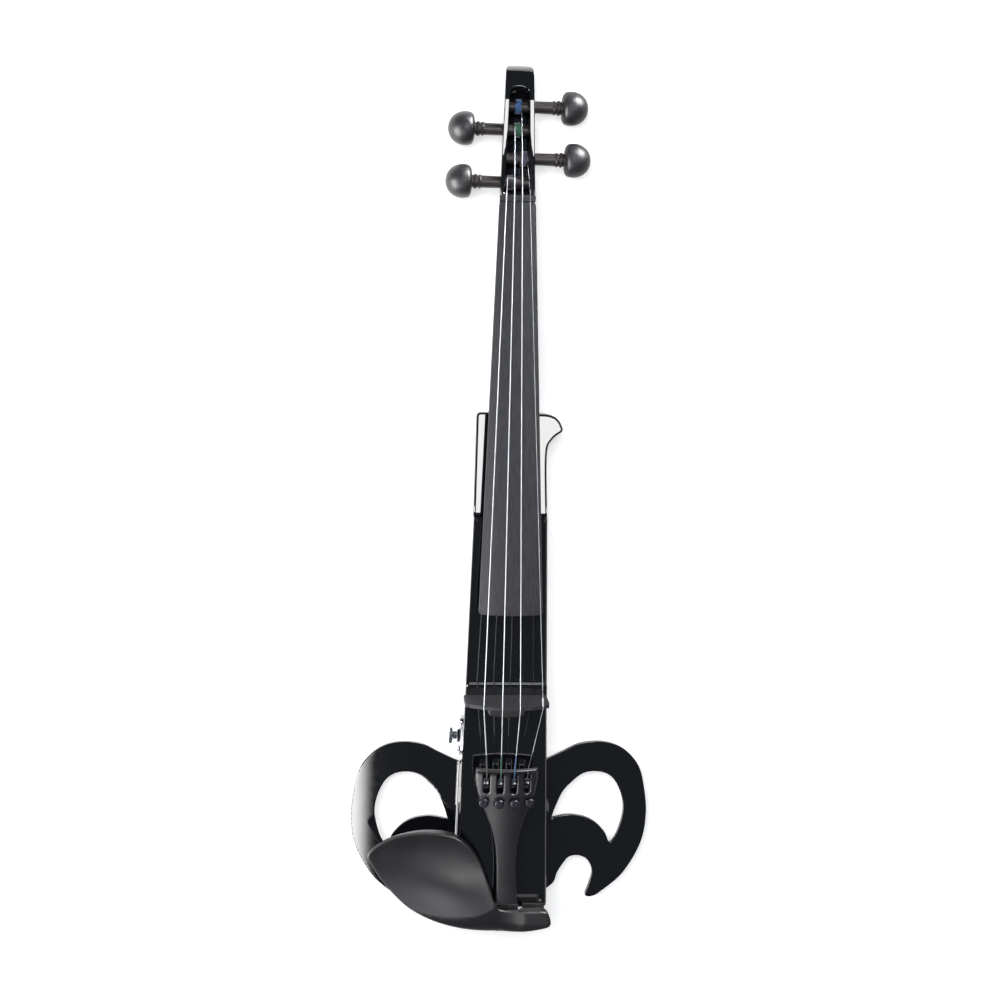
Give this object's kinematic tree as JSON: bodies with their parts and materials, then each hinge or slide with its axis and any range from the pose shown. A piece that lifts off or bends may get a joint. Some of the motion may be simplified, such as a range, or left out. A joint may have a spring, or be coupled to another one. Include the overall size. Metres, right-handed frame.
{
  "type": "electric violin",
  "caption": "Electric violin with a slim black bar body, scrolled open wings, chinrest, arched bridge, fine-tuner tailpiece and a pegbox with friction pegs.",
  "frame": {"origin": "on the flat back of the body, on the centre line, straight under the bridge", "axes": "+X to the treble (E string) side, +Y along the neck to the head, +Z out of the back through the strings"},
  "size_m": [0.2048, 0.5853, 0.0714],
  "materials": {
    "lacquer": "high-gloss black polyester lacquer",
    "ebony": "matt dyed black hardwood",
    "peg_wood": "satin ebony",
    "satin_black": "satin black moulded composite",
    "string_steel": "wound steel string",
    "screw_steel": "zinc plated steel",
    "black_oxide": "black plated steel",
    "chrome": "polished chrome plate",
    "cork": "raw cork",
    "pad": "black rubberised cork",
    "black_plastic": "fine textured black",
    "tail_cord": "smooth black nylon",
    "silk_black": "black silk winding",
    "silk_green": "green silk winding",
    "silk_blue": "blue silk winding",
    "silk_purple": "purple silk winding",
    "circuit": "green soldermask",
    "battery_case": null
  },
  "bodies": {
    "body": {"body_bar": "lacquer", "left_wing": "lacquer", "right_wing": "lacquer", "neck": "lacquer", "fingerboard": "ebony", "nut": "ebony", "string_g": "string_steel", "string_d": "string_steel", "string_a": "string_steel", "string_e": "string_steel", "saddle": "ebony", "end_button": "ebony", "tailgut": "tail_cord", "bridge": "ebony", "bridge_plinth": "lacquer", "pickup_capsule": "satin_black", "tailpiece": "satin_black", "tuner_rod": "black_oxide", "chinrest": "satin_black", "chinrest_cork_left": "pad", "chinrest_cork_right": "pad", "clamp_rod_left": "screw_steel", "clamp_rod_right": "screw_steel", "control_plate": "chrome", "pot_nut": "chrome", "volume_pot": "screw_steel", "plate_screw_head": "chrome", "plate_screw_tail": "chrome", "jack_socket": "black_plastic", "jack_nut": "black_oxide", "back_cover": "black_plastic", "cover_screw_1": "black_oxide", "cover_screw_2": "black_oxide", "cover_screw_3": "black_oxide", "cover_screw_4": "black_oxide", "preamp_board": "circuit", "battery": "battery_case", "peg_silk_g": "silk_black", "peg_silk_d": "silk_green", "peg_silk_a": "silk_blue", "peg_silk_e": "silk_purple"},
    "peg_g": {"peg_g": "peg_wood"},
    "peg_d": {"peg_d": "peg_wood"},
    "peg_a": {"peg_a": "peg_wood"},
    "peg_e": {"peg_e": "peg_wood"},
    "tuner_screw_g": {"tuner_screw_g": "black_oxide"},
    "tuner_lever_g": {"tuner_lever_g": "black_oxide"},
    "tuner_screw_d": {"tuner_screw_d": "black_oxide"},
    "tuner_lever_d": {"tuner_lever_d": "black_oxide"},
    "tuner_screw_a": {"tuner_screw_a": "black_oxide"},
    "tuner_lever_a": {"tuner_lever_a": "black_oxide"},
    "tuner_screw_e": {"tuner_screw_e": "black_oxide"},
    "tuner_lever_e": {"tuner_lever_e": "black_oxide"},
    "clamp_barrel_left": {"clamp_barrel_left": "chrome"},
    "clamp_barrel_right": {"clamp_barrel_right": "chrome"},
    "clamp_foot": {"clamp_foot": "chrome", "clamp_foot_cork": "cork"},
    "volume": {"volume_knob": "chrome", "volume_shaft": "screw_steel"},
    "battery_door": {"battery_door": "black_plastic"}
  },
  "joints": [
    {"name": "peg_g_turn", "type": "hinge", "parent": "body", "child": "peg_g", "pos_m": [0, 0.3389, 0.01863], "axis": [1, 0, 0], "continuous": true},
    {"name": "peg_d_turn", "type": "hinge", "parent": "body", "child": "peg_d", "pos_m": [0, 0.3733, 0.0158], "axis": [1, 0, 0], "continuous": true},
    {"name": "peg_a_turn", "type": "hinge", "parent": "body", "child": "peg_a", "pos_m": [0, 0.3886, 0.01455], "axis": [1, 0, 0], "continuous": true},
    {"name": "peg_e_turn", "type": "hinge", "parent": "body", "child": "peg_e", "pos_m": [0, 0.3547, 0.01733], "axis": [1, 0, 0], "continuous": true},
    {"name": "tuner_screw_g_turn", "type": "hinge", "parent": "body", "child": "tuner_screw_g", "pos_m": [-0.0153, -0.0681, 0.04905], "axis": [0, 0, 1], "range_deg": [0, 720]},
    {"name": "tuner_lever_g_tilt", "type": "hinge", "parent": "body", "child": "tuner_lever_g", "pos_m": [-0.0135, -0.0595, 0.04905], "axis": [1, 0, 0], "range_deg": [0, 5]},
    {"name": "tuner_screw_d_turn", "type": "hinge", "parent": "body", "child": "tuner_screw_d", "pos_m": [-0.0051, -0.0681, 0.04905], "axis": [0, 0, 1], "range_deg": [0, 720]},
    {"name": "tuner_lever_d_tilt", "type": "hinge", "parent": "body", "child": "tuner_lever_d", "pos_m": [-0.0045, -0.0595, 0.04905], "axis": [1, 0, 0], "range_deg": [0, 5]},
    {"name": "tuner_screw_a_turn", "type": "hinge", "parent": "body", "child": "tuner_screw_a", "pos_m": [0.0051, -0.0681, 0.04905], "axis": [0, 0, 1], "range_deg": [0, 720]},
    {"name": "tuner_lever_a_tilt", "type": "hinge", "parent": "body", "child": "tuner_lever_a", "pos_m": [0.0045, -0.0595, 0.04905], "axis": [1, 0, 0], "range_deg": [0, 5]},
    {"name": "tuner_screw_e_turn", "type": "hinge", "parent": "body", "child": "tuner_screw_e", "pos_m": [0.0153, -0.0681, 0.04905], "axis": [0, 0, 1], "range_deg": [0, 720]},
    {"name": "tuner_lever_e_tilt", "type": "hinge", "parent": "body", "child": "tuner_lever_e", "pos_m": [0.0135, -0.0595, 0.04905], "axis": [1, 0, 0], "range_deg": [0, 5]},
    {"name": "clamp_barrel_left_turn", "type": "hinge", "parent": "body", "child": "clamp_barrel_left", "pos_m": [-0.019, -0.1525, 0.028], "axis": [0, 0, 1], "range_deg": [0, 1440]},
    {"name": "clamp_barrel_right_turn", "type": "hinge", "parent": "body", "child": "clamp_barrel_right", "pos_m": [0.019, -0.1525, 0.028], "axis": [0, 0, 1], "range_deg": [0, 1440]},
    {"name": "clamp_foot_slide", "type": "slide", "parent": "body", "child": "clamp_foot", "axis": [0, 0, -1], "range_m": [0, 0.0056]},
    {"name": "volume_turn", "type": "hinge", "parent": "body", "child": "volume", "pos_m": [-0.02828, -0.0319, 0.02], "axis": [-0.9997, 0.0244, 0], "range_deg": [-150, 150]},
    {"name": "battery_door_hinge", "type": "hinge", "parent": "body", "child": "battery_door", "pos_m": [0, 0.0828, 0.0021], "axis": [1, 0, 0], "range_deg": [0, 90]}
  ],
  "couplings": [
    {"joint": "tuner_lever_g_tilt", "follows": "tuner_screw_g_turn", "ratio": 0.0069},
    {"joint": "tuner_lever_d_tilt", "follows": "tuner_screw_d_turn", "ratio": 0.0069},
    {"joint": "tuner_lever_a_tilt", "follows": "tuner_screw_a_turn", "ratio": 0.0069},
    {"joint": "tuner_lever_e_tilt", "follows": "tuner_screw_e_turn", "ratio": 0.0069},
    {"joint": "clamp_barrel_left_turn", "follows": "clamp_foot_slide", "rad_per_m": 4480},
    {"joint": "clamp_barrel_right_turn", "follows": "clamp_foot_slide", "rad_per_m": 4480}
  ]
}
